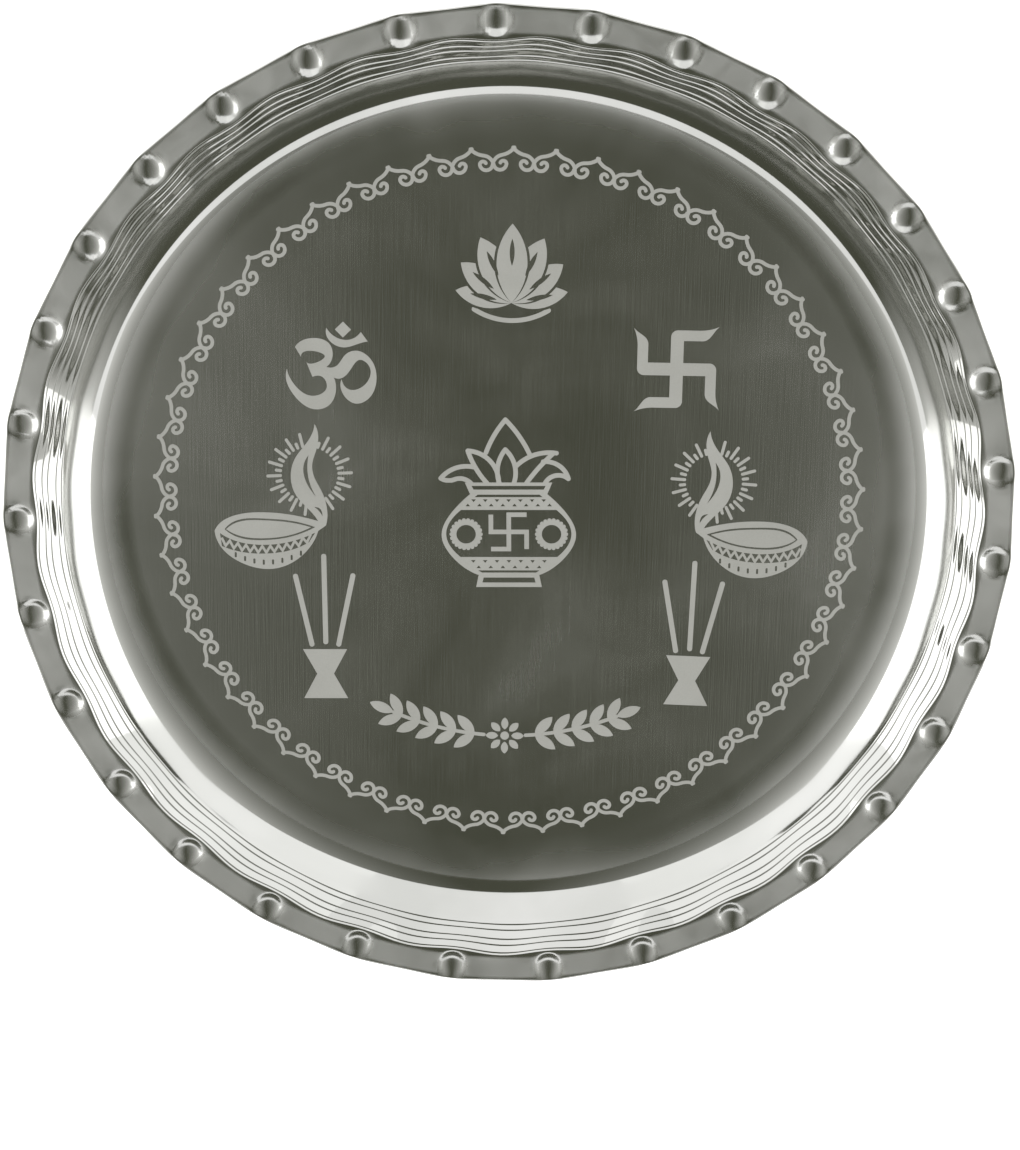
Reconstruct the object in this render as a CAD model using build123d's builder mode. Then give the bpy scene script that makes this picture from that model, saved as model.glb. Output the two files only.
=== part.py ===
from build123d import *
from math import asin, atan2, cos, degrees, radians, sin
import os

# Puja thali: one pressed steel plate that carries a frosted print of traditional signs on its floor.
# Millimetres. The origin is the middle of the underside, +Z is up, +Y points to the top of the print.

# Pressed plate
plate_diameter = 203.2
rim_height = 13.0
sheet = 0.6
flange_width = 6.6
upper_wall_run = 4.25
upper_wall_rise = 4.9
crease_ledge = 0.6
crease_bend = 0.5
lower_wall_run = 3.55
lower_wall_foot_angle = 40.0
cove_radius = 15.0
cove_angle = 40.0
hem_depth = 1.3
shoulder_swing = 0.4
outline_swing = 0.18

# Dents pressed into the middle of the flange: their pitch is uneven, widest on one side of the plate
dent_count = 32
dent_diameter = 5.3
dent_depth = 1.15
dent_drift = 3.4
dent_drift_turn = 150.0
dent_start = 4.0

# Print: one drawing, reduced or enlarged to the floor with all that is on it
print_thickness = 0.08
border_margin = 4.0
drawing_radius = 73.0
border_count = 54
border_line = 0.72
pot_line = 0.95
pot_neck_top = 10.5
rosette_radius = 3.0
rosette_hole = 2.0
ray_line = 0.62
ray_inner = 5.7
long_ray = 3.2
short_ray = 1.5
zigzag_line = 0.5
stick_width = 1.06
petal_gap = 0.5
garland_radius = 60.0
garland_line = 0.75

# Places of the signs in the drawing, from its middle, and the turns of those that stand askew
om_place = (-36.3, 27.8)
swastika_place = (33.6, 28.6)
lotus_place = (0.0, 41.6)
garland_place = (0.0, -50.8)
pot_place = (0.2, -6.2)
pot_turn = 1.1
left_lamp_place = (-50.4, -6.6)
right_lamp_place = (51.6, -6.6)
left_stand_place = (-37.7, -37.8)
right_stand_place = (37.9, -37.8)
left_stand_turn = 1.1
right_stand_turn = -1.4

outer_radius = plate_diameter / 2
outline_radius = outer_radius - outline_swing
shoulder_radius = outer_radius - flange_width
crease_outer = shoulder_radius - upper_wall_run
crease_inner = crease_outer - crease_ledge
crease_height = rim_height - upper_wall_rise
cove_run = cove_radius * sin(radians(cove_angle))
floor_radius = crease_inner - lower_wall_run - cove_run
upper_slope = atan2(upper_wall_rise, upper_wall_run)
upper_wall_width = sheet / sin(upper_slope)
dent_ring_radius = (outer_radius + shoulder_radius) / 2
drawing_scale = (floor_radius - border_margin) / drawing_radius

os.makedirs("parts", exist_ok=True)


def dent_turn(number):
    """The direction of one dent in degrees. A half number is midway between two dents."""
    even = dent_start + 360 / dent_count * number
    return even - dent_drift * cos(radians(even - dent_drift_turn))


def wavy_edge(mean_radius, swing):
    """A closed curve that swings once at each dent: a positive swing is widest midway between dents."""
    points = []
    for number in range(dent_count):
        for share, radius in ((0, mean_radius - swing), (0.5, mean_radius + swing)):
            turn = radians(dent_turn(number + share))
            points.append((radius * cos(turn), radius * sin(turn)))
    return Spline(points, periodic=True, mode=Mode.PRIVATE)


# The plate: floor, cove, lower wall and crease are turned about the middle
with BuildPart() as pressed_plate:
    with BuildSketch(Plane.XZ):
        with BuildLine():
            Line((0, sheet), (floor_radius, sheet))
            cove = JernArc((floor_radius, sheet), (1, 0), cove_radius, cove_angle)
            foot_slope = radians(lower_wall_foot_angle)
            crease = (crease_inner, crease_height)
            TangentArc(cove @ 1, crease, tangent=(cos(foot_slope), sin(foot_slope)))
            ledge = Line(crease, (crease_outer + upper_wall_width, crease_height))
            fillet(ledge.vertices().sort_by(Axis.X)[0], crease_bend)
            offset(amount=sheet, side=Side.RIGHT)
        make_face()
    revolve(axis=Axis.Z)

    # The upper wall changes from the round crease to the wavy shoulder
    with BuildSketch(Plane.XY.offset(crease_height)):
        Circle(crease_outer + upper_wall_width)
    with BuildSketch(Plane.XY.offset(rim_height)):
        make_face(wavy_edge(shoulder_radius + upper_wall_width, shoulder_swing))
    loft(ruled=True)
    with BuildSketch(Plane.XY.offset(crease_height)):
        Circle(crease_outer)
    with BuildSketch(Plane.XY.offset(rim_height)):
        make_face(wavy_edge(shoulder_radius, shoulder_swing))
    loft(ruled=True, mode=Mode.SUBTRACT)

    # The flange and its turned-down hem
    with BuildSketch(Plane.XY.offset(rim_height - sheet)):
        make_face(wavy_edge(outline_radius, -outline_swing))
        make_face(wavy_edge(shoulder_radius, shoulder_swing), mode=Mode.SUBTRACT)
    extrude(amount=sheet)
    with BuildSketch(Plane.XY.offset(rim_height)):
        make_face(wavy_edge(outline_radius, -outline_swing))
        make_face(wavy_edge(outline_radius - sheet, -outline_swing), mode=Mode.SUBTRACT)
    extrude(amount=-hem_depth)

    # Round dents, each with its bulge below the flange
    dent_radius = (dent_diameter**2 / 4 + dent_depth**2) / (2 * dent_depth)
    dent_middle = rim_height - dent_depth + dent_radius
    bulge_radius = dent_radius + sheet
    bulge_top = -degrees(asin((dent_middle - rim_height + sheet / 2) / bulge_radius))
    for number in range(dent_count):
        turn = radians(dent_turn(number))
        with Locations((dent_ring_radius * cos(turn), dent_ring_radius * sin(turn), dent_middle)):
            Sphere(bulge_radius, arc_size2=bulge_top, align=None)
            Sphere(dent_radius, align=None, mode=Mode.SUBTRACT)

pressed_plate.part.label = "pressed_plate"
export_step(pressed_plate.part, "parts/pressed_plate.step")


def seat(label, drawing, place, turn=0):
    """Lay one drawn sign on the floor as a thin frosted layer, to the scale of the whole print."""
    middle = Plane((place[0] * drawing_scale, place[1] * drawing_scale, sheet)).rotated((0, 0, turn))
    with BuildPart() as sign:
        with BuildSketch(middle):
            add(drawing)
            scale(by=drawing_scale)
        extrude(amount=print_thickness)
    sign.part.label = label
    export_step(sign.part, f"parts/{label}.step")


def flip(drawing):
    """The same drawing as seen in a mirror."""
    return mirror(drawing, about=Plane.YZ, mode=Mode.PRIVATE)


def stroke(start, through, end, width):
    """One round-ended stroke along an arc, added to the sketch that is open."""
    SlotArc(ThreePointArc(start, through, end, mode=Mode.PRIVATE), width)


def petal(length, half_width):
    """A pointed oval that stands on the origin."""
    with BuildSketch() as drawing:
        with BuildLine():
            right_side = ThreePointArc((0, 0), (half_width, length / 2), (0, length))
            ThreePointArc(right_side @ 1, (-half_width, length / 2), (0, 0))
        make_face()
    return drawing.sketch


def trapezoid(top, half_top, foot, half_foot, mode=Mode.ADD):
    """A level four-sided figure about the Y axis, added to or cut from the sketch that is open."""
    corners = ((-half_top, top), (-half_foot, foot), (half_foot, foot), (half_top, top))
    Polygon(*corners, align=None, mode=mode)


def border_drawing():
    """A ring of pointed arches: each arm crosses its neighbour's and curls up under the next arch."""
    with BuildLine() as arm:
        flank = ThreePointArc((-0.15, -0.25), (0.75, -1.1), (2.3, -1.75))
        shoulder = TangentArc(flank @ 1, (4.15, -3.75), tangent=flank % 1)
        bend = TangentArc(shoulder @ 1, (5.0, -4.8), tangent=shoulder % 1)
        curl = TangentArc(bend @ 1, (6.65, -3.95), tangent=bend % 1)
        TangentArc(curl @ 1, (5.5, -3.45), tangent=curl % 1)
    with BuildSketch() as arch:
        SlotArc(arm.wire(), border_line)
        mirror(about=Plane.YZ)
    with BuildSketch() as drawing:
        with PolarLocations(drawing_radius, border_count, start_angle=90):
            add(arch.sketch, rotation=-90)
    return drawing.sketch


def om_drawing():
    """The Om sign: a body with its tail, a crescent and a diamond."""
    shoulder = (-1.0, 0.0)
    tail_end = (2.1, -2.5)
    armpit = (0.5, -2.15)
    hook_end = (-8.95, -0.5)
    crescent_tip = (-0.95, 8.05)
    diamond_middle = (2.4, 7.75)
    diamond_side = 2.3
    with BuildSketch() as drawing:
        with BuildLine():
            Spline((-7.3, 4.0), (-3.4, 5.9), (-0.3, 4.7), (0.3, 2.4), shoulder)
            Spline(
                shoulder, (1.4, 0.55), (3.0, 2.7), (5.15, 3.45), (8.4, 1.15), (9.2, -2.2),
                (7.5, -6.5), (5.0, -7.5), (2.35, -5.45), tail_end,
            )
            Spline(tail_end, (4.2, -4.7), (7.3, -3.0), (7.6, 0.5), (5.9, 1.6), (3.9, -0.5), armpit)
            Spline(
                armpit, (0.95, -4.8), (-0.6, -8.05), (-3.2, -8.85), (-7.6, -5.95), (-9.2, -1.55), hook_end,
            )
            Spline(hook_end, (-7.15, -4.2), (-3.75, -6.05), (-0.95, -4.4), (-1.25, -2.65), (-3.8, -2.1))
            Line((-3.8, -2.1), (-5.0, 0.9))
            Spline((-5.0, 0.9), (-2.75, 0.95), (-1.3, 2.25), (-2.75, 3.1), (-6.1, 2.0))
            Line((-6.1, 2.0), (-7.3, 4.0))
        make_face()
        with BuildLine():
            Spline(crescent_tip, (0.4, 6.5), (2.2, 5.7), (6.0, 7.3))
            Line((6.0, 7.3), (7.4, 5.4))
            Spline((7.4, 5.4), (5.0, 4.7), (2.7, 4.1), (0.4, 4.8), (-0.9, 6.4), crescent_tip)
        make_face()
        with Locations(diamond_middle):
            Rectangle(diamond_side, diamond_side, rotation=45)
    return drawing.sketch


def swastika_drawing():
    """Four hooked arms with round elbows and flared ends."""
    half_bar = 1.3
    elbow = 1.4
    hook_top = 8.0
    hook_foot = 5.85
    flare_start = 4.8
    tip = (9.05, 9.15)
    with BuildSketch() as arm:
        with BuildLine():
            Line((half_bar, 0), (-half_bar, 0))
            Line((-half_bar, 0), (-half_bar, hook_top - elbow))
            RadiusArc((-half_bar, hook_top - elbow), (elbow - half_bar, hook_top), elbow)
            Line((elbow - half_bar, hook_top), (flare_start, hook_top))
            Spline((flare_start, hook_top), (6.9, 8.3), tip)
            Spline(tip, (7.3, 7.6), (6.3, 6.35), (flare_start, hook_foot))
            Line((flare_start, hook_foot), (half_bar, hook_foot))
            Line((half_bar, hook_foot), (half_bar, 0))
        make_face()
    with BuildSketch() as drawing:
        Rectangle(2 * half_bar, 2 * half_bar)
        with PolarLocations(0, 4):
            add(arm.sketch)
    return drawing.sketch


def lotus_drawing():
    """An open lotus: the petals in front are drawn last, with a bare line left round each."""
    petals = ((78, 11.5, 2.2), (52, 13.0, 2.7), (26, 14.6, 3.0), (0, 16.0, 3.1))
    vein_length = 5.5
    vein_half_width = 0.5
    vein_setback = 3.0
    with BuildSketch() as drawing:
        stroke((-7.5, -1.4), (0, -3.6), (7.5, -1.4), pot_line)
        for tilt, length, half_width in petals:
            for side in (-tilt, tilt):
                add(petal(length + petal_gap, half_width + petal_gap), rotation=side, mode=Mode.SUBTRACT)
                add(petal(length, half_width), rotation=side)
        for tilt, length, half_width in petals:
            vein_foot = length - vein_setback - vein_length
            for side in (-tilt, tilt):
                with Locations(Rotation(0, 0, side)):
                    with Locations((0, vein_foot)):
                        add(petal(vein_length, vein_half_width), mode=Mode.SUBTRACT)
    return drawing.sketch


def garland_drawing():
    """A sagging spray: a stem of paired leaves on either side of a small blossom."""
    leaf_length = 5.4
    leaf_half_width = 1.1
    leaf_tilt = 42
    stem_start = 4.2
    stem_end = 23.0
    pairs = 5
    blossom_petals = 8
    blossom_eye = 0.9
    blossom_petal_length = 2.6
    blossom_petal_half_width = 0.75

    def on_stem(turn):
        return (garland_radius * sin(radians(turn)), garland_radius * (1 - cos(radians(turn))))

    with BuildSketch() as spray:
        stroke(on_stem(stem_start), on_stem((stem_start + stem_end) / 2), on_stem(stem_end), garland_line)
        for number in range(pairs):
            turn = stem_start + (stem_end - stem_start) * (number + 0.5) / pairs
            for tilt in (-leaf_tilt, leaf_tilt):
                with Locations(Location(on_stem(turn), (0, 0, turn - 90 + tilt))):
                    add(petal(leaf_length, leaf_half_width))
        with Locations(Location(on_stem(stem_end), (0, 0, stem_end - 90))):
            add(petal(leaf_length, leaf_half_width))
    with BuildSketch() as drawing:
        add(spray.sketch)
        add(flip(spray.sketch))
        with Locations(on_stem(0)):
            Circle(blossom_eye)
            with PolarLocations(blossom_eye + petal_gap, blossom_petals):
                add(petal(blossom_petal_length, blossom_petal_half_width), rotation=-90)
    return drawing.sketch


def pot_drawing():
    """The kalash: neck, round body with two banded rows of bare triangles, and foot."""
    neck_foot = 8.1
    body_foot = -9.2
    half_width = 13.85
    window_top = 4.7
    window_foot = -5.4
    tooth = (0.5, 0.6)
    rows = ((6.95, -1, 7, 2.4), (5.45, 1, 8, 2.4), (-6.05, -1, 7, 2.45), (-7.8, 1, 6, 2.5))
    with BuildSketch() as drawing:
        with BuildLine():
            Line((0, neck_foot), (7.85, neck_foot))
            Spline((7.85, neck_foot), (12.2, 3.5), (half_width, -0.8), (12.5, -4.3), (6.4, body_foot))
            Line((6.4, body_foot), (0, body_foot))
            mirror(about=Plane.YZ)
        make_face()
        with BuildLine():
            Line((0, window_top), (9.8, window_top))
            Spline((9.8, window_top), (half_width - pot_line, -0.6), (10.0, window_foot))
            Line((10.0, window_foot), (0, window_foot))
            mirror(about=Plane.YZ)
        make_face(mode=Mode.SUBTRACT)
        for base, direction, count, pitch in rows:
            with Locations((0, base)):
                with GridLocations(pitch, 1, count, 1):
                    corners = ((-tooth[0], 0), (tooth[0], 0), (0, direction * tooth[1]))
                    Polygon(*corners, align=None, mode=Mode.SUBTRACT)
        trapezoid(7.95, 6.35, 7.4, 7.0, mode=Mode.SUBTRACT)
        trapezoid(-8.25, 6.4, -8.75, 5.6, mode=Mode.SUBTRACT)
        trapezoid(pot_neck_top, 8.95, neck_foot, 7.95)
        trapezoid(9.8, 7.6, 9.0, 7.2, mode=Mode.SUBTRACT)
        trapezoid(body_foot, 6.25, -11.85, 6.8)
        trapezoid(-9.8, 5.25, -10.9, 5.5, mode=Mode.SUBTRACT)
    return drawing.sketch


def leaves_drawing():
    """The coconut and the mango leaves that stand in the kalash, cut level with its neck."""
    trim_width = 40
    trim_depth = 5
    edges = (
        ((-4.6, 16.8), (-3.15, 20.0), (-0.6, 23.7)),
        ((-0.6, 23.7), (2.0, 20.55), (4.35, 16.4)),
        ((-1.75, 10.0), (-2.15, 14.2), (-0.65, 17.45)),
        ((0.95, 10.0), (1.2, 14.4), (-0.65, 17.45)),
        ((-8.3, 17.2), (-4.2, 15.5), (-2.05, 10.0)),
        ((-8.3, 17.2), (-6.9, 13.9), (-4.1, 10.0)),
        ((-13.9, 11.4), (-10.4, 13.7), (-7.0, 13.75)),
        ((-13.9, 11.4), (-12.6, 10.95), (-11.1, 11.15)),
        ((-11.1, 11.15), (-9.35, 11.3), (-7.6, 10.2)),
        ((9.8, 16.7), (4.95, 16.2), (1.4, 13.8)),
        ((9.0, 16.5), (5.75, 13.1), (3.4, 10.0)),
        ((7.1, 14.9), (9.95, 14.3), (12.25, 11.3)),
        ((12.25, 11.3), (9.75, 12.0), (7.4, 10.2)),
    )
    with BuildSketch() as drawing:
        for start, through, end in edges:
            stroke(start, through, end, pot_line)
        with Locations((0, pot_neck_top)):
            Rectangle(trim_width, trim_depth, align=(Align.CENTER, Align.MAX), mode=Mode.SUBTRACT)
    return drawing.sketch


def rosettes_drawing():
    """Two scalloped rings, one on each side of the kalash."""
    scallops = 22
    scallop_radius = 0.42
    with BuildSketch() as drawing:
        with Locations((-8.8, -0.5), (8.8, -0.5)):
            Circle(rosette_radius)
            with PolarLocations(rosette_radius, scallops):
                Circle(scallop_radius)
        with Locations((-8.8, -0.5), (8.8, -0.5)):
            Circle(rosette_hole, mode=Mode.SUBTRACT)
    return drawing.sketch


def small_swastika_drawing():
    """The plain swastika on the front of the kalash."""
    half_size = 4.15
    with BuildSketch() as drawing:
        with PolarLocations(0, 4):
            with Locations((0, half_size / 2)):
                Rectangle(pot_line, half_size)
            with Locations((-pot_line / 2, half_size)):
                Rectangle(half_size, pot_line, align=(Align.MIN, Align.MAX))
    return drawing.sketch


# The spout of the left lamp, where its flame stands
spout_top = (11.3, 1.95)
spout_tip = (12.9, 1.05)


def lamp_bowl_drawing():
    """The left lamp's bowl: rim, zigzag band and a dish with a row of bare dashes."""
    dashes = 8
    dash_pitch = 1.93
    dash_length = 1.15
    dash_width = 0.45
    dash_shift = 0.95
    dash_lowest = (0.4, -7.1)
    dash_bow = 0.039
    zigzag_points = 23
    zigzag_pitch = 0.84
    zigzag_swing = 0.68
    zigzag_shift = 0.55
    zigzag_lowest = (-0.6, -4.35)
    zigzag_bow = 0.0257

    def sagging(x, lowest, bow):
        return lowest[1] + bow * (x - lowest[0]) ** 2

    with BuildSketch() as drawing:
        with BuildLine():
            Spline((-10.1, -0.5), (-8.9, 1.2), (-6.0, 2.8), (0, 3.6), (5.6, 3.2), spout_top)
            Line(spout_top, spout_tip)
            Line(spout_tip, (11.3, -0.15))
            Spline(
                (11.3, -0.15), (8.5, -4.95), (2.6, -8.35), (-4.6, -7.3), (-9.0, -3.7), (-10.1, -0.5),
            )
        make_face()
        with BuildLine():
            Spline((-8.05, -0.15), (-6.25, 1.45), (0, 2.3), (6.7, 1.75), (10.7, 0.65))
            Spline((10.7, 0.65), (5.6, -1.5), (0, -2.35), (-6.1, -1.5), (-8.05, -0.15))
        make_face(mode=Mode.SUBTRACT)
        with BuildLine():
            Spline((-9.0, -1.0), (-6.1, -2.5), (0, -3.35), (5.6, -2.55), (10.7, -0.5))
            Line((10.7, -0.5), (9.4, -2.6))
            Spline((9.4, -2.6), (5.55, -4.4), (0, -5.25), (-4.5, -5.0), (-8.65, -3.8))
            Line((-8.65, -3.8), (-9.0, -1.0))
        make_face(mode=Mode.SUBTRACT)
        zigzag = []
        for number in range(zigzag_points):
            x = zigzag_shift + zigzag_pitch * (number - zigzag_points // 2)
            swing = zigzag_swing * (-1) ** number
            zigzag.append((x, sagging(x, zigzag_lowest, zigzag_bow) + swing))
        with BuildLine():
            Polyline(zigzag)
        trace(line_width=zigzag_line)
        for number in range(dashes):
            x = dash_shift + dash_pitch * (number - (dashes - 1) / 2)
            with Locations((x, sagging(x, dash_lowest, dash_bow))):
                SlotOverall(dash_length, dash_width, rotation=90, mode=Mode.SUBTRACT)
    return drawing.sketch


def lamp_oil_drawing():
    """The oil in the left lamp's bowl."""
    with BuildSketch() as drawing:
        with BuildLine():
            Spline((-7.7, -0.15), (-5.9, 1.15), (0, 1.9), (6.4, 1.4), (9.8, 0.6))
            Spline((9.8, 0.6), (5.3, -1.2), (0, -1.95), (-5.8, -1.2), (-7.7, -0.15))
        make_face()
    return drawing.sketch


def flame_outline():
    """The left lamp's flame without its slits, standing on the spout."""
    tip = (10.65, 22.45)
    with BuildSketch() as drawing:
        with BuildLine():
            Spline(
                tip, (11.4, 19.7), (10.9, 16.8), (10.15, 14.0), (10.4, 11.7), (12.0, 8.4), (13.1, 4.9),
                spout_tip,
            )
            Line(spout_tip, spout_top)
            Spline(spout_top, (8.95, 4.85), (6.95, 7.1), (5.75, 10.6), (6.6, 15.1), (8.95, 18.4), tip)
        make_face()
    return drawing.sketch


def flame_drawing():
    """The left lamp's flame with its long slit and the small one above the wick."""
    with BuildSketch() as drawing:
        add(flame_outline())
        with BuildLine():
            Spline((9.4, 15.9), (8.3, 12.8), (8.8, 10.4), (10.9, 7.15))
            Spline((10.9, 7.15), (9.35, 11.1), (9.4, 15.9))
        make_face(mode=Mode.SUBTRACT)
        with BuildLine():
            Spline((10.5, 4.95), (11.5, 4.75), (12.2, 3.0))
            Spline((12.2, 3.0), (11.5, 4.05), (10.5, 4.95))
        make_face(mode=Mode.SUBTRACT)
    return drawing.sketch


def rays_drawing():
    """Long and short rays by turns round the left lamp's flame, apart from those that it hides."""
    rays_middle = (9.6, 11.85)
    first_turn = 3.4
    turns = 36
    hidden = (8, 9, 27, 28, 29)
    with BuildSketch() as drawing:
        for number in range(turns):
            if number in hidden:
                continue
            length = short_ray if number % 2 else long_ray
            turn = first_turn + 360 / turns * number
            with Locations(Location(rays_middle, (0, 0, turn))):
                with Locations((ray_inner + length / 2, 0)):
                    SlotOverall(length, ray_line)
        add(flame_outline(), mode=Mode.SUBTRACT)
    return drawing.sketch


def sticks_drawing():
    """Three incense sticks that fan out above their stand."""
    foot = 6.5
    spread = 5.75
    with BuildSketch() as drawing:
        for start, end in (
            ((-2.7, foot), (-spread, 21.3)),
            ((0.2, foot + stick_width / 2), (0.2, 25.6)),
            ((2.9, foot), (spread + 0.4, 21.4)),
        ):
            SlotArc(Line(start, end, mode=Mode.PRIVATE), stick_width)
    return drawing.sketch


def stand_drawing():
    """The hourglass stand of the incense sticks."""
    half_width = 4.6
    half_waist = 1.75
    half_height = 5.4
    with BuildSketch() as drawing:
        trapezoid(half_height, half_width, 0, half_waist)
        trapezoid(0, half_waist, -half_height, half_width)
    return drawing.sketch


# The signs of the print, each its own layer on the floor
seat("scroll_border", border_drawing(), (0, 0))
seat("om_sign", om_drawing(), om_place)
seat("swastika_sign", swastika_drawing(), swastika_place)
seat("lotus_sign", lotus_drawing(), lotus_place)
seat("leaf_garland", garland_drawing(), garland_place)

seat("kalash_pot", pot_drawing(), pot_place, pot_turn)
seat("kalash_leaves", leaves_drawing(), pot_place, pot_turn)
seat("kalash_rosettes", rosettes_drawing(), pot_place, pot_turn)
seat("kalash_swastika", small_swastika_drawing(), pot_place, pot_turn)

lamp_signs = {
    "lamp_bowl": lamp_bowl_drawing(),
    "lamp_oil": lamp_oil_drawing(),
    "lamp_flame": flame_drawing(),
    "lamp_rays": rays_drawing(),
}
for sign_name, sign_drawing in lamp_signs.items():
    seat(f"left_{sign_name}", sign_drawing, left_lamp_place)
    seat(f"right_{sign_name}", flip(sign_drawing), right_lamp_place)

incense_signs = {"incense_sticks": sticks_drawing(), "incense_stand": stand_drawing()}
for sign_name, sign_drawing in incense_signs.items():
    seat(f"left_{sign_name}", sign_drawing, left_stand_place, left_stand_turn)
    seat(f"right_{sign_name}", sign_drawing, right_stand_place, right_stand_turn)
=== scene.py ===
"""A puja thali of pressed steel with a frosted print.

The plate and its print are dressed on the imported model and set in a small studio.
"""

import logging
import math
from dataclasses import dataclass
from enum import Enum

import bpy
import numpy as np
from mathutils import Matrix, Vector


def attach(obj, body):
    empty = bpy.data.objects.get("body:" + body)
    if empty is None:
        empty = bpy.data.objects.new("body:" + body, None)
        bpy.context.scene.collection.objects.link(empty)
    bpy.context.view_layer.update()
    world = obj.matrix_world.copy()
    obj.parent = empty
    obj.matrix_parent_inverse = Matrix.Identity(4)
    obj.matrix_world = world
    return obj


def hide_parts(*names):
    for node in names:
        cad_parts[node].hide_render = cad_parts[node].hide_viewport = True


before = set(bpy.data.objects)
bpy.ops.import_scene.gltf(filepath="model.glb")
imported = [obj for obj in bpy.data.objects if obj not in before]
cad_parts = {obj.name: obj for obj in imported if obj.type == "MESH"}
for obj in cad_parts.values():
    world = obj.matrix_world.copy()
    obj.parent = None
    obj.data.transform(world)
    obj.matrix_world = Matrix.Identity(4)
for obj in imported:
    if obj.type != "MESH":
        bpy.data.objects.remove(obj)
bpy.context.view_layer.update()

log = logging.getLogger("thali")
MM = 0.001

# The Mix node's colour sockets have the names of its other sockets, so they go by number.
MIX_FIRST, MIX_SECOND, MIX_RESULT = 6, 7, 2


class Slot(Enum):
    """The record's material slots."""

    STEEL = "steel"
    PRINT = "frosted_print"


class Graph:
    """A node tree that is filled node by node."""

    def __init__(self, tree: bpy.types.NodeTree) -> None:
        """Clear the tree and keep it.

        Args:
            tree: the node tree of a material, a world or a group.
        """
        self.tree = tree
        tree.nodes.clear()

    def add(self, kind: str, inputs: dict | None = None, **settings) -> bpy.types.Node:
        """Add one node.

        Args:
            kind: the node's type name.
            inputs: socket name or number to a value or to the socket that feeds it.
            settings: the node's own properties.

        Returns:
            The new node.
        """
        node = self.tree.nodes.new(kind)
        for name, value in settings.items():
            setattr(node, name, value)
        for name, value in (inputs or {}).items():
            if isinstance(value, bpy.types.NodeSocket):
                self.tree.links.new(value, node.inputs[name])
            else:
                node.inputs[name].default_value = value
        return node

    def math(self, operation: str, first, second=0.0) -> bpy.types.NodeSocket:
        """Join two values by an operation.

        Args:
            operation: the Math node's operation.
            first: a value or a socket.
            second: a value or a socket.

        Returns:
            The result's socket.
        """
        return self.add("ShaderNodeMath", {0: first, 1: second}, operation=operation).outputs[0]

    def span(
        self,
        value: bpy.types.NodeSocket,
        low: float,
        high: float,
        out_low: float = 0.0,
        out_high: float = 1.0,
    ) -> bpy.types.NodeSocket:
        """Stretch a value from one range to another, held within it.

        Args:
            value: the socket to stretch.
            low: start of the range that comes in.
            high: end of the range that comes in.
            out_low: start of the range that goes out.
            out_high: end of the range that goes out.

        Returns:
            The result's socket.
        """
        inputs = {
            "Value": value,
            "From Min": low,
            "From Max": high,
            "To Min": out_low,
            "To Max": out_high,
        }
        return self.add("ShaderNodeMapRange", inputs).outputs[0]

    def tint(self, mask: bpy.types.NodeSocket, first: tuple, second: tuple) -> bpy.types.NodeSocket:
        """Blend two colours by a mask.

        Args:
            mask: 0 for the first colour and 1 for the second.
            first: red, green and blue.
            second: red, green and blue.

        Returns:
            The colour's socket.
        """
        node = self.add("ShaderNodeMix", {0: mask}, data_type="RGBA")
        node.inputs[MIX_FIRST].default_value = (*first, 1.0)
        node.inputs[MIX_SECOND].default_value = (*second, 1.0)
        return node.outputs[MIX_RESULT]

    def place(self) -> bpy.types.NodeSocket:
        """Give the place on the object.

        Returns:
            The socket of the Object coordinates.
        """
        return self.add("ShaderNodeTexCoord").outputs["Object"]

    def patch_mask(self, patches: bpy.types.NodeTree, size: float) -> bpy.types.NodeSocket:
        """Place the wiped patches.

        Args:
            patches: the group of wiped patches.
            size: the patches' size.

        Returns:
            The mask's socket.
        """
        node = self.add("ShaderNodeGroup", node_tree=patches)
        node.inputs["Scale"].default_value = 1 / size
        return node.outputs["Mask"]

    def shown_rays(self) -> bpy.types.NodeSocket:
        """Mask the rays by which the backdrop is seen, straight, mirrored or through glass.

        Returns:
            The mask's socket.
        """
        ray = self.add("ShaderNodeLightPath").outputs
        seen = self.math("MAXIMUM", ray["Is Camera Ray"], ray["Is Glossy Ray"])
        return self.math("MAXIMUM", seen, ray["Is Transmission Ray"])


def new_material(name: str) -> tuple[bpy.types.Material, Graph]:
    """Make an empty material.

    Args:
        name: the material's name.

    Returns:
        The material and its graph to fill.
    """
    material = bpy.data.materials.new(name)
    material.use_nodes = True
    return material, Graph(material.node_tree)


@dataclass(frozen=True)
class WipedPatches:
    """Soft patches that wiping and handling leave, shared by every finish."""

    detail: float = 3.0
    roughness: float = 0.55
    distortion: float = 0.6
    clear_level: float = 0.36
    thick_level: float = 0.68

    def group(self) -> bpy.types.NodeTree:
        """Build the patches as a node group.

        Returns:
            The group, with a Scale input and a Mask output from 0 to 1.
        """
        tree = bpy.data.node_groups.new("wiped_patches", "ShaderNodeTree")
        tree.interface.new_socket("Scale", in_out="INPUT", socket_type="NodeSocketFloat")
        tree.interface.new_socket("Mask", in_out="OUTPUT", socket_type="NodeSocketFloat")
        graph = Graph(tree)
        given = graph.add("NodeGroupInput")
        inputs = {
            "Vector": graph.place(),
            "Scale": given.outputs["Scale"],
            "Detail": self.detail,
            "Roughness": self.roughness,
            "Distortion": self.distortion,
        }
        broad = graph.add("ShaderNodeTexNoise", inputs).outputs[0]
        mask = graph.span(broad, self.clear_level, self.thick_level)
        graph.add("NodeGroupOutput", {"Mask": mask})
        return tree


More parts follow.
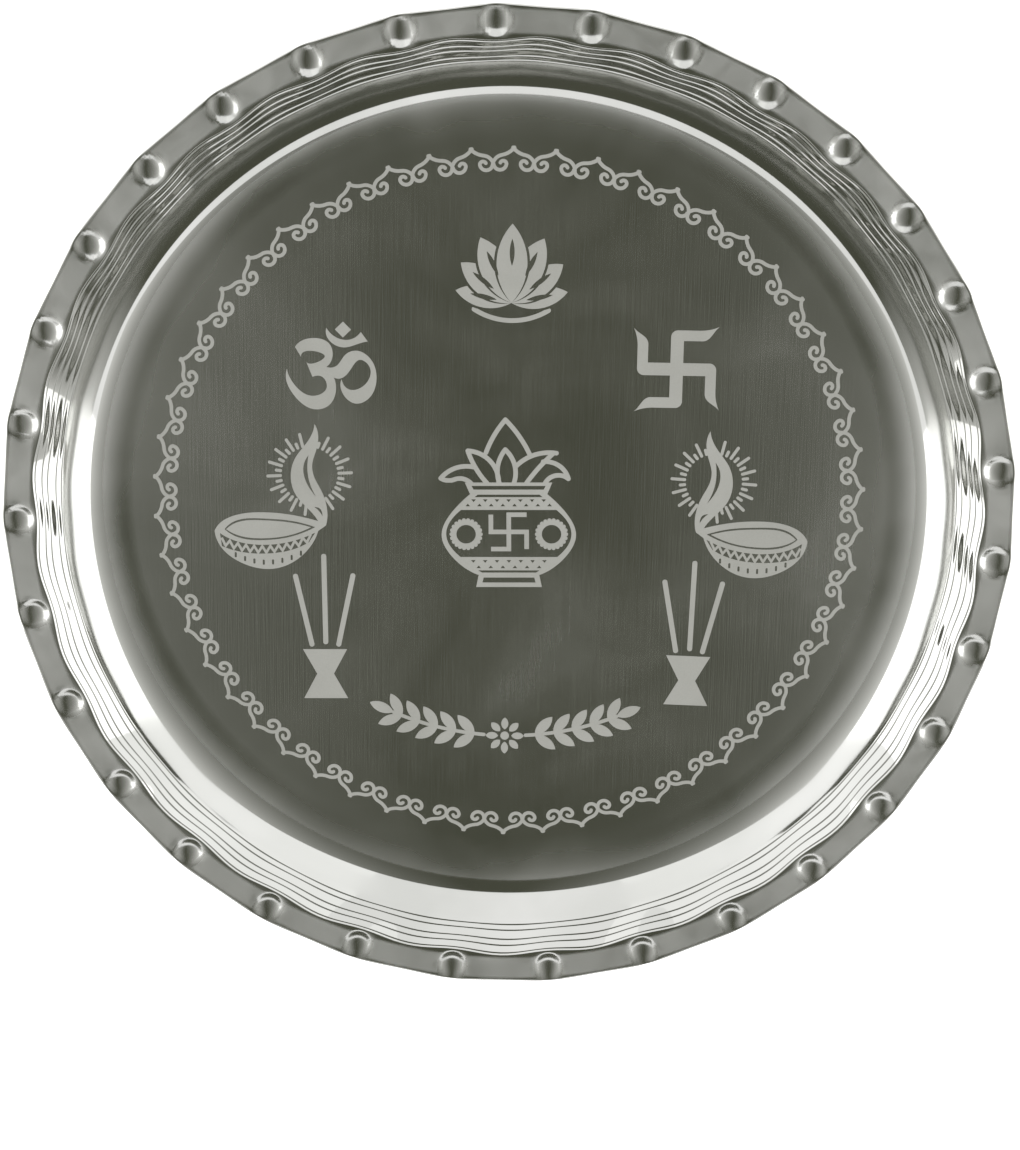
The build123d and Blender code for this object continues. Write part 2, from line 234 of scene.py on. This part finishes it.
@dataclass(frozen=True)
class BrushedSteel:
    """Steel sheet: a brushed floor with hazy patches, bright walls and hem, and a satin flange, its
    colour painted paler in the patches and brush lines as a sheen.

    A haze is the roughness that a zone adds to the polished steel. The starts, ends and edges are
    distances from the plate's axis.
    """

    shade: tuple = (0.68, 0.685, 0.655)
    # Paler steel colour of the hazy patches and brush lines: a painted sheen laid over their uneven
    # tone
    painted_sheen: tuple = (0.82, 0.82, 0.795)
    polished_roughness: float = 0.05
    clear_haze: float = 0.07
    thick_haze: float = 0.24
    edge_haze: float = 0.18
    wall_haze: float = 0.10
    dent_haze: float = 0.13
    dent_edge: float = 0.15
    satin_clear_haze: float = 0.4125
    satin_thick_haze: float = 0.55
    brush_start: float = 68.0 * MM
    brush_end: float = 77.0 * MM
    edge_start: float = 74.0 * MM
    haze_edge: float = 82.9 * MM
    bright_edge: float = 83.5 * MM
    wall_foot: float = 86.6 * MM
    wall_top: float = 89.6 * MM
    satin_start: float = 95.7 * MM
    satin_end: float = 100.6 * MM
    zone_blend: float = 0.4 * MM
    hairline_width: float = 0.3 * MM
    hairline_length: float = 16.0 * MM
    hairline_height: float = 0.018 * MM
    hairline_detail: float = 2.0
    hairline_roughness: float = 0.5
    hairline_faint: float = 0.38
    hairline_strong: float = 0.72
    hairline_share: float = 0.22
    patch_share: float = 0.78
    patch_size: float = 46.0 * MM
    flange_patch_size: float = 9.0 * MM

    def ring(
        self, graph: Graph, radius: bpy.types.NodeSocket, start: float, end: float
    ) -> bpy.types.NodeSocket:
        """Mask a ring of the plate with soft edges.

        Args:
            graph: the material's graph.
            radius: the distance from the plate's axis.
            start: the ring's inner radius.
            end: the ring's outer radius.

        Returns:
            The mask's socket, 1 within the ring.
        """
        inside = graph.span(radius, start - self.zone_blend, start + self.zone_blend)
        beyond = graph.span(radius, end - self.zone_blend, end + self.zone_blend, 1.0, 0.0)
        return graph.math("MULTIPLY", inside, beyond)

    def hairlines(self, graph: Graph, place: bpy.types.NodeSocket) -> bpy.types.NodeSocket:
        """Draw the fine lines of the brushing, which run along Y.

        Args:
            graph: the material's graph.
            place: the place on the plate.

        Returns:
            The socket of the lines' height.
        """
        stretch = graph.add("ShaderNodeMapping", {"Vector": place})
        lengthening = (1 / self.hairline_width, 1 / self.hairline_length, 1.0)
        stretch.inputs["Scale"].default_value = lengthening
        inputs = {
            "Vector": stretch.outputs[0],
            "Scale": 1.0,
            "Detail": self.hairline_detail,
            "Roughness": self.hairline_roughness,
        }
        return graph.add("ShaderNodeTexNoise", inputs).outputs[0]

    def haze(
        self,
        graph: Graph,
        radius: bpy.types.NodeSocket,
        veil: bpy.types.NodeSocket,
        patches: bpy.types.NodeTree,
    ) -> bpy.types.NodeSocket:
        """Add up the hazes of the floor, the lower wall, the flange and the dents.

        Args:
            graph: the material's graph.
            radius: the distance from the plate's axis.
            veil: the mask of the floor's patches and lines.
            patches: the group of wiped patches.

        Returns:
            The socket of the roughness to add.
        """
        floor = graph.span(radius, self.haze_edge, self.bright_edge, 1.0, 0.0)
        veiled = graph.span(veil, 0.0, 1.0, self.clear_haze, self.thick_haze)
        edge = graph.span(radius, self.edge_start, self.haze_edge, 0.0, self.edge_haze)
        brushed = graph.math("MULTIPLY", floor, graph.math("ADD", veiled, edge))
        wall = self.ring(graph, radius, self.wall_foot, self.wall_top)
        drawn = graph.math("MULTIPLY", wall, self.wall_haze)
        dent = graph.add("ShaderNodeAttribute", attribute_name="dent").outputs["Fac"]
        flange = self.ring(graph, radius, self.satin_start, self.satin_end)
        fine = graph.patch_mask(patches, self.flange_patch_size)
        satin = graph.span(fine, 0.0, 1.0, self.satin_clear_haze, self.satin_thick_haze)
        plain = graph.span(dent, 0.0, self.dent_edge, 1.0, 0.0)
        pressed = graph.math("MULTIPLY", flange, graph.math("MULTIPLY", plain, satin))
        dished = graph.span(dent, 0.0, self.dent_edge, 0.0, self.dent_haze)
        inner = graph.math("ADD", brushed, drawn)
        outer = graph.math("ADD", pressed, dished)
        return graph.math("ADD", inner, outer)

    def material(self, patches: bpy.types.NodeTree) -> bpy.types.Material:
        """Make the finish.

        Args:
            patches: the group of wiped patches.

        Returns:
            The material.
        """
        material, graph = new_material("brushed_steel")
        place = graph.place()
        flat = {0: place, 1: (1.0, 1.0, 0.0)}
        level = graph.add("ShaderNodeVectorMath", flat, operation="MULTIPLY").outputs[0]
        length = graph.add("ShaderNodeVectorMath", {0: level}, operation="LENGTH")
        radius = length.outputs["Value"]
        brush = graph.span(radius, self.brush_start, self.brush_end, 1.0, 0.0)
        hairlines = self.hairlines(graph, place)
        lines = graph.span(hairlines, self.hairline_faint, self.hairline_strong)
        brushing = graph.math("MULTIPLY", graph.math("MULTIPLY", lines, self.hairline_share), brush)
        broad = graph.patch_mask(patches, self.patch_size)
        veil = graph.math("ADD", graph.math("MULTIPLY", broad, self.patch_share), brushing)
        haze = self.haze(graph, radius, veil, patches)
        relief = {
            "Height": graph.math("MULTIPLY", hairlines, brush),
            "Strength": 1.0,
            "Distance": self.hairline_height,
        }
        inputs = {
            # The steel is painted paler where the patches and brush lines lie, a painted sheen for
            # the light their haze would catch
            "Base Color": graph.tint(veil, self.shade, self.painted_sheen),
            "Roughness": graph.math("ADD", haze, self.polished_roughness),
            "Metallic": 1.0,
            "Normal": graph.add("ShaderNodeBump", relief).outputs[0],
        }
        surface = graph.add("ShaderNodeBsdfPrincipled", inputs)
        graph.add("ShaderNodeOutputMaterial", {"Surface": surface.outputs[0]})
        return material


@dataclass(frozen=True)
class FrostedPrint:
    """Pale matte print with a fine grain."""

    pale: tuple = (0.42, 0.42, 0.385)
    worn: tuple = (0.36, 0.36, 0.325)
    roughness: float = 0.6
    grain_size: float = 0.25 * MM
    grain_height: float = 0.01 * MM
    grain_detail: float = 3.0
    grain_faint: float = 0.35
    grain_strong: float = 0.65
    grain_share: float = 0.4
    patch_share: float = 0.6
    patch_size: float = 18.0 * MM

    def material(self, patches: bpy.types.NodeTree) -> bpy.types.Material:
        """Make the finish.

        Args:
            patches: the group of wiped patches.

        Returns:
            The material.
        """
        material, graph = new_material(Slot.PRINT.value)
        noise = {
            "Vector": graph.place(),
            "Scale": 1 / self.grain_size,
            "Detail": self.grain_detail,
        }
        grain = graph.add("ShaderNodeTexNoise", noise).outputs[0]
        speckle = graph.span(grain, self.grain_faint, self.grain_strong)
        veil = graph.patch_mask(patches, self.patch_size)
        rubbed = graph.math("MULTIPLY", veil, self.patch_share)
        wear = graph.math("ADD", rubbed, graph.math("MULTIPLY", speckle, self.grain_share))
        relief = {"Height": grain, "Strength": 1.0, "Distance": self.grain_height}
        inputs = {
            "Base Color": graph.tint(wear, self.pale, self.worn),
            "Roughness": self.roughness,
            "Normal": graph.add("ShaderNodeBump", relief).outputs[0],
        }
        surface = graph.add("ShaderNodeBsdfPrincipled", inputs)
        graph.add("ShaderNodeOutputMaterial", {"Surface": surface.outputs[0]})
        return material


@dataclass
class PressedPlate:
    """The plate of one pressed sheet: floor, walls, crease, flange with dents, and hem."""

    outer_radius: float = 101.6 * MM
    rim_height: float = 13.0 * MM
    sheet: float = 0.6 * MM
    flange_width: float = 6.6 * MM
    upper_wall_run: float = 4.25 * MM
    upper_wall_rise: float = 4.9 * MM
    crease_ledge: float = 0.6 * MM
    lower_wall_run: float = 3.55 * MM
    lower_wall_foot_angle: float = math.radians(40.0)
    cove_radius: float = 15.0 * MM
    cove_angle: float = math.radians(40.0)
    crease_bend: float = 0.3 * MM
    fold_bend: float = 0.2 * MM
    shoulder_bend: float = 0.5 * MM
    hem_bend: float = 0.6 * MM
    hem_depth: float = 1.3 * MM
    bend_share: float = 0.45
    crease_swing: float = 0.04 * MM
    shoulder_swing: float = 0.4 * MM
    outline_swing: float = 0.18 * MM
    dent_count: int = 32
    dent_reach: float = 3.5 * MM
    dent_depth: float = 1.15 * MM
    dent_drift: float = math.radians(3.4)
    dent_drift_turn: float = math.radians(150.0)
    dent_start: float = math.radians(4.0)
    dent_flatness: float = 1.4
    dent_roundness: float = 1.6
    dent_overlap: float = 1.65 * MM
    fold_shares: tuple = (0.03, 0.2, 0.5, 0.68, 0.92)
    fold_width: float = 0.25 * MM
    fold_slope: float = math.radians(27.0)
    fold_lag: float = 0.9
    # How finely the sheet is divided
    arc_steps: int = 9
    steps_per_dent: int = 20
    crowding: float = 0.6
    bend_step: float = math.radians(20.0)
    fine_run: float = 0.65 * MM
    floor_run: float = 40.0 * MM
    weld_distance: float = 0.0006 * MM
    smooth_angle: float = math.radians(40.0)

    def __post_init__(self) -> None:
        """Work out the radii that follow from the driving sizes."""
        self.shoulder = self.outer_radius - self.flange_width
        self.crease_inner = self.shoulder - self.upper_wall_run - self.crease_ledge
        self.crease_height = self.rim_height - self.upper_wall_rise
        self.wall_foot = self.crease_inner - self.lower_wall_run
        self.floor_radius = self.wall_foot - self.cove_radius * math.sin(self.cove_angle)
        self.outline = self.outer_radius - self.outline_swing

    def profile(self) -> list[Vector]:
        """Trace the upper face of the sheet from the middle of the floor to the hem's lower edge.

        Returns:
            Points in the XZ plane.
        """
        floor_end = Vector((self.floor_radius, 0, self.sheet))
        crease = Vector((self.crease_inner, 0, self.crease_height))
        shoulder = Vector((self.shoulder, 0, self.rim_height))
        pieces = math.ceil(self.floor_radius / self.floor_run)
        points = [
            Vector((self.floor_radius * step / pieces, 0, self.sheet)) for step in range(pieces)
        ]
        points += self.sweep(floor_end, 0.0, self.cove_angle, self.cove_radius)
        wall = crease - points[-1]
        turn = 2 * (math.atan2(wall.z, wall.x) - self.lower_wall_foot_angle)
        radius = wall.length / (2 * math.sin(turn / 2))
        points += self.sweep(points[-1], self.lower_wall_foot_angle, turn, radius)[1:-1]
        corners = [
            (points[-1], 0),
            (crease, self.crease_bend),
            *((corner, self.fold_bend) for corner in self.folds(crease, shoulder)),
            (shoulder, self.shoulder_bend),
            (Vector((self.outline, 0, self.rim_height)), self.hem_bend),
            (Vector((self.outline, 0, self.rim_height - self.hem_depth)), 0),
        ]
        for number in range(1, len(corners)):
            corner, radius = corners[number]
            arc = [corner]
            if radius:
                arc = self.bend(corners[number - 1][0], corner, corners[number + 1][0], radius)
            start = points[-1]
            run = arc[0] - start
            pieces = max(1, math.ceil(run.length / self.fine_run))
            points += [start + run * step / pieces for step in range(1, pieces)]
            points += arc
        return points

    def sweep(self, start: Vector, slope: float, turn: float, radius: float) -> list[Vector]:
        """Trace an arc that climbs outwards and steepens.

        Args:
            start: where the arc starts.
            slope: its slope there.
            turn: how far it steepens.
            radius: its radius.

        Returns:
            The points of the arc, with both its ends.
        """
        points = []
        for step in range(self.arc_steps + 1):
            steep = slope + turn * step / self.arc_steps
            run = math.sin(steep) - math.sin(slope)
            rise = math.cos(slope) - math.cos(steep)
            points.append(start + radius * Vector((run, 0, rise)))
        return points

    def folds(self, crease: Vector, shoulder: Vector) -> list[Vector]:
        """Place the faint steps that the press leaves in the upper wall.

        Args:
            crease: the foot of the upper wall.
            shoulder: its top.

        Returns:
            The corners of the steps, from the crease to the shoulder.
        """
        wall = shoulder - crease
        step = Vector((self.fold_width, 0, self.fold_width * math.tan(self.fold_slope)))
        count = len(self.fold_shares)
        between = wall.x - count * step.x
        climb = (wall.z - count * step.z) / between
        corners = [crease]
        for number, share in enumerate(self.fold_shares):
            run = crease.x + between * share + number * step.x - corners[-1].x
            start = corners[-1] + Vector((run, 0, run * climb))
            corners += [start, start + step]
        return corners[1:]

    def bend(self, before: Vector, corner: Vector, after: Vector, radius: float) -> list[Vector]:
        """Round one corner of the profile with an arc.

        Args:
            before: the corner before it.
            corner: the corner to round.
            after: the corner after it.
            radius: the arc's radius, less where the sides are too short for it.

        Returns:
            The points of the arc.
        """
        coming = (corner - before).normalized()
        going = (after - corner).normalized()
        turn = coming.angle(going)
        shorter = min((corner - before).length, (after - corner).length)
        reach = min(radius * math.tan(turn / 2), self.bend_share * shorter)
        radius = reach / math.tan(turn / 2)
        middle = corner + (going - coming).normalized() * (radius / math.cos(turn / 2))
        start = corner - coming * reach - middle
        axis = coming.cross(going).normalized()
        steps = math.ceil(turn / self.bend_step)
        return [
            middle + Matrix.Rotation(turn * step / steps, 3, axis) @ start
            for step in range(steps + 1)
        ]

    def dent_turn(self, number: np.ndarray) -> np.ndarray:
        """Give the directions of dents, whose pitch is uneven.

        Args:
            number: the dents' numbers, where a half number is midway between two dents.

        Returns:
            The directions in radians.
        """
        even = self.dent_start + math.tau / self.dent_count * number
        return even - self.dent_drift * np.cos(even - self.dent_drift_turn)

    def press(self, plate: bpy.types.Object) -> None:
        """Give the turned sheet its wavy shoulder, its wavy outline and its dents.

        Args:
            plate: the turned sheet.
        """
        count = len(plate.data.vertices)
        places = np.empty(count * 3)
        plate.data.vertices.foreach_get("co", places)
        places = places.reshape(count, 3)
        radius = np.hypot(places[:, 0], places[:, 1])
        around = np.mod(np.arctan2(places[:, 1], places[:, 0]), math.tau)
        even = around * self.dent_count / math.tau
        number = even - self.crowding / math.tau * np.sin(math.tau * even)
        turn = self.dent_turn(number)
        stations = (self.wall_foot, self.crease_inner, self.shoulder, self.outline)
        swings = (0.0, self.crease_swing, self.shoulder_swing, -self.outline_swing)
        swing = np.interp(radius, stations, swings)
        lag = self.fold_lag * np.interp(radius, (self.crease_inner, self.shoulder), (1.0, 0.0))
        wavy = radius - swing * np.cos(math.tau * number - lag)
        from_dent = turn - self.dent_turn(np.round(number))
        ring = (self.shoulder + self.outer_radius) / 2
        outwards = wavy * np.cos(from_dent) - ring
        sideways = wavy * np.sin(from_dent)
        share = (outwards**2 + sideways**2) / self.dent_reach**2
        dish = np.clip(1 - share**self.dent_flatness, 0, 1) ** self.dent_roundness
        dish = np.where(radius > self.shoulder - self.dent_overlap, dish, 0)
        places[:, 0] = wavy * np.cos(turn)
        places[:, 1] = wavy * np.sin(turn)
        places[:, 2] -= dish * self.dent_depth
        plate.data.vertices.foreach_set("co", places.ravel())
        dents = plate.data.attributes.new("dent", "FLOAT", "POINT")
        dents.data.foreach_set("value", dish)
        plate.data.update()

    def build(self) -> bpy.types.Object:
        """Turn the profile about the plate's axis, press it and give the sheet its thickness.

        Returns:
            The finished plate.
        """
        bpy.ops.object.select_all(action="DESELECT")
        points = self.profile()
        bpy.ops.mesh.primitive_plane_add(size=self.sheet, location=(0, 0, 0))
        plate = bpy.context.object
        plate.name = "thali_plate"
        bpy.ops.object.mode_set(mode="EDIT")
        bpy.ops.mesh.select_all(action="SELECT")
        bpy.ops.mesh.merge(type="CENTER")
        bpy.ops.transform.translate(value=points[0])
        for before, point in zip(points, points[1:]):
            bpy.ops.mesh.extrude_region_move(TRANSFORM_OT_translate={"value": point - before})
        bpy.ops.mesh.select_all(action="SELECT")
        bpy.ops.mesh.spin(
            steps=self.dent_count * self.steps_per_dent,
            angle=math.tau,
            use_auto_merge=True,
            center=(0, 0, 0),
            axis=(0, 0, 1),
        )
        bpy.ops.mesh.select_all(action="SELECT")
        bpy.ops.mesh.remove_doubles(threshold=self.weld_distance)
        bpy.ops.mesh.normals_make_consistent(inside=False)
        bpy.ops.object.mode_set(mode="OBJECT")
        if min(plate.data.polygons, key=lambda face: face.center.length).normal.z < 0:
            plate.data.flip_normals()
        self.press(plate)
        thickness = plate.modifiers.new("sheet", "SOLIDIFY")
        thickness.thickness = self.sheet
        thickness.offset = -1
        thickness.use_even_offset = True
        bpy.ops.object.modifier_apply(modifier=thickness.name)
        bpy.ops.object.shade_smooth_by_angle(angle=self.smooth_angle)
        return plate

    def dress(self, plate: bpy.types.Object, steel: bpy.types.Material) -> None:
        """Give the plate its finish and put it in the place of its solid.

        Args:
            plate: the finished plate.
            steel: its material.
        """
        plate.data.materials.clear()
        plate.data.materials.append(steel)
        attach(plate, "root")
        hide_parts("pressed_plate")


@dataclass
class Studio:
    """A white room with a dark canopy and a low dark screen, two soft lamps a side and the camera.

    The turns and the camera's angles are in degrees.
    """

    target: tuple = (0.0, 0.0, 0.6 * MM)
    distance: float = 504 * MM
    tilt: float = 15.07
    side: float = -0.925
    roll: float = 1.105
    lens: float = 76.88
    shift: tuple = (0.0015, -0.0628)
    room_shade: tuple = (1.0, 1.0, 1.0)
    room_light: float = 0.9
    floor_size: float = 6.0
    floor_shade: tuple = (0.8, 0.8, 0.8)
    floor_glow: float = 0.8
    floor_drop: float = 0.1 * MM
    dark_shade: tuple = (0.080, 0.083, 0.062)
    edge_shade: tuple = (0.72, 0.72, 0.70)
    canopy_height: float = 600 * MM
    canopy_half_width: float = 880 * MM
    canopy_front: float = -800 * MM
    canopy_back: float = 500 * MM
    canopy_dark_width: float = 40 * MM
    screen_radius: float = 1300 * MM
    screen_height: float = 520 * MM
    screen_dark_turn: float = 43.0
    screen_half_turn: float = 64.0
    screen_steps: int = 96
    lamp_turns: tuple = (-5.2, 42.4, 137.6, 185.2)
    lamp_radiances: tuple = (0.8, 0.15, 0.15, 0.8)
    lamp_spread: float = 47.6
    lamp_distance: float = 1050 * MM
    lamp_height: float = 1250 * MM

    def camera(self) -> None:
        """Stand the camera where the photograph was taken from."""
        data = bpy.data.cameras.new("camera")
        data.lens = self.lens
        data.shift_x, data.shift_y = self.shift
        camera = bpy.data.objects.new("camera", data)
        bpy.context.scene.collection.objects.link(camera)
        camera.matrix_world = (
            Matrix.Translation(self.target)
            @ Matrix.Rotation(math.radians(self.roll), 4, "Z")
            @ Matrix.Rotation(math.radians(-self.tilt), 4, "X")
            @ Matrix.Rotation(math.radians(-self.side), 4, "Y")
            @ Matrix.Translation((0, 0, self.distance))
        )
        bpy.context.scene.camera = camera

    def room(self) -> None:
        """Make the world white where it is seen or mirrored, and a soft light for all else."""
        world = bpy.data.worlds.new("white_room")
        world.use_nodes = True
        bpy.context.scene.world = world
        graph = Graph(world.node_tree)
        strength = graph.span(graph.shown_rays(), 0.0, 1.0, self.room_light, 1.0)
        glow = graph.add("ShaderNodeBackground", {"Strength": strength})
        glow.inputs["Color"].default_value = (*self.room_shade, 1.0)
        graph.add("ShaderNodeOutputWorld", {"Surface": glow.outputs[0]})

    def floor(self) -> None:
        """Lay a white floor that keeps the plate's shadow."""
        bpy.ops.mesh.primitive_plane_add(size=self.floor_size, location=(0, 0, -self.floor_drop))
        floor = bpy.context.object
        floor.name = "studio_floor"
        material, graph = new_material("white_floor")
        strength = graph.math("MULTIPLY", graph.shown_rays(), self.floor_glow)
        glow = graph.add("ShaderNodeEmission", {"Strength": strength})
        matte = graph.add("ShaderNodeBsdfDiffuse")
        matte.inputs["Color"].default_value = (*self.floor_shade, 1.0)
        both = graph.add("ShaderNodeAddShader", {0: glow.outputs[0], 1: matte.outputs[0]})
        graph.add("ShaderNodeOutputMaterial", {"Surface": both.outputs[0]})
        floor.data.materials.append(material)

    def canopy(self) -> None:
        """Hang the dark canopy that the plate's floor mirrors, paler to its left and right."""
        width = 2 * self.canopy_half_width
        depth = self.canopy_back - self.canopy_front
        middle = (self.canopy_front + self.canopy_back) / 2
        bpy.ops.mesh.primitive_plane_add(size=1.0, location=(0, 0, 0))
        canopy = bpy.context.object
        canopy.name = "studio_canopy"
        bpy.ops.object.mode_set(mode="EDIT")
        bpy.ops.transform.resize(value=(width, depth, 1))
        bpy.ops.transform.translate(value=(0, middle, self.canopy_height))
        bpy.ops.object.mode_set(mode="OBJECT")
        material, graph = new_material("dark_canopy")
        place = graph.add("ShaderNodeSeparateXYZ", {0: graph.place()}).outputs
        across = graph.math("ABSOLUTE", place["X"])
        edge = graph.span(across, self.canopy_dark_width, self.canopy_half_width)
        self.darken(canopy, material, graph, edge)

    def screen(self) -> None:
        """Stand the low dark screen in front of the plate, paler towards its ends."""
        bpy.ops.mesh.primitive_circle_add(
            vertices=self.screen_steps, radius=self.screen_radius, fill_type="NOTHING"
        )
        screen = bpy.context.object
        screen.name = "studio_screen"
        dark_turn = math.radians(self.screen_dark_turn)
        half_turn = math.radians(self.screen_half_turn)
        reach = -self.screen_radius * math.cos(half_turn)
        rise = (0, 0, self.screen_height)
        bpy.ops.object.mode_set(mode="EDIT")
        bpy.ops.mesh.select_all(action="DESELECT")
        bpy.ops.object.mode_set(mode="OBJECT")
        for vertex in screen.data.vertices:
            vertex.select = vertex.co.y > reach
        bpy.ops.object.mode_set(mode="EDIT")
        bpy.ops.mesh.delete(type="VERT")
        bpy.ops.mesh.select_all(action="SELECT")
        bpy.ops.mesh.extrude_region_move(TRANSFORM_OT_translate={"value": rise})
        bpy.ops.object.mode_set(mode="OBJECT")
        material, graph = new_material("dark_screen")
        place = graph.add("ShaderNodeSeparateXYZ", {0: graph.place()}).outputs
        across = graph.math("ABSOLUTE", place["X"])
        ahead = graph.math("MULTIPLY", place["Y"], -1.0)
        edge = graph.span(graph.math("ARCTAN2", across, ahead), dark_turn, half_turn)
        self.darken(screen, material, graph, edge)

    def darken(
        self,
        card: bpy.types.Object,
        material: bpy.types.Material,
        graph: Graph,
        edge: bpy.types.NodeSocket,
    ) -> None:
        """Give a card its dark glow and let it show in the steel alone.

        Args:
            card: the canopy or the screen.
            material: its material.
            graph: the material's graph.
            edge: the mask of the card's paler ends.
        """
        shade = graph.tint(edge, self.dark_shade, self.edge_shade)
        glow = graph.add("ShaderNodeEmission", {"Color": shade})
        graph.add("ShaderNodeOutputMaterial", {"Surface": glow.outputs[0]})
        card.data.materials.append(material)
        card.visible_camera = False
        card.visible_diffuse = False
        card.visible_shadow = False

    def lamps(self) -> None:
        """Set two soft lamps side by side on the left and two on the right, turned to the plate."""
        width = 2 * self.lamp_distance * math.tan(math.radians(self.lamp_spread / 2))
        middle = Vector((0.0, 0.0, self.lamp_height / 2))
        for number, (turn, radiance) in enumerate(zip(self.lamp_turns, self.lamp_radiances), 1):
            angle = math.radians(turn)
            outwards = Vector((math.cos(angle), math.sin(angle), 0.0))
            data = bpy.data.lights.new(f"lamp_{number}", "AREA")
            data.shape = "RECTANGLE"
            data.size, data.size_y = width, self.lamp_height
            data.energy = radiance * math.pi * width * self.lamp_height
            lamp = bpy.data.objects.new(data.name, data)
            lamp.location = self.lamp_distance * outwards + middle
            lamp.rotation_euler = (-outwards).to_track_quat("-Z", "Y").to_euler()
            bpy.context.scene.collection.objects.link(lamp)

    def build(self) -> None:
        """Set up the whole studio."""
        self.camera()
        self.room()
        self.floor()
        self.canopy()
        self.screen()
        self.lamps()
        bpy.context.scene.view_settings.view_transform = "Standard"


def dress_print(frosted: bpy.types.Material) -> None:
    """Give every printed sign its finish.

    Args:
        frosted: the print's material.
    """
    for name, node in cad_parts.items():
        if name == "pressed_plate":
            continue
        node.data.materials.clear()
        node.data.materials.append(frosted)
        log.info("dressed %s", name)


def main() -> None:
    """Build the plate, dress it and its print, and set the studio."""
    logging.basicConfig(level=logging.INFO, format="%(name)s: %(message)s")
    patches = WipedPatches().group()
    plate = PressedPlate()
    piece = plate.build()
    plate.dress(piece, BrushedSteel().material(patches))
    log.info("built %s with %d faces", piece.name, len(piece.data.polygons))
    dress_print(FrostedPrint().material(patches))
    Studio().build()


if __name__ == "__main__":
    main()
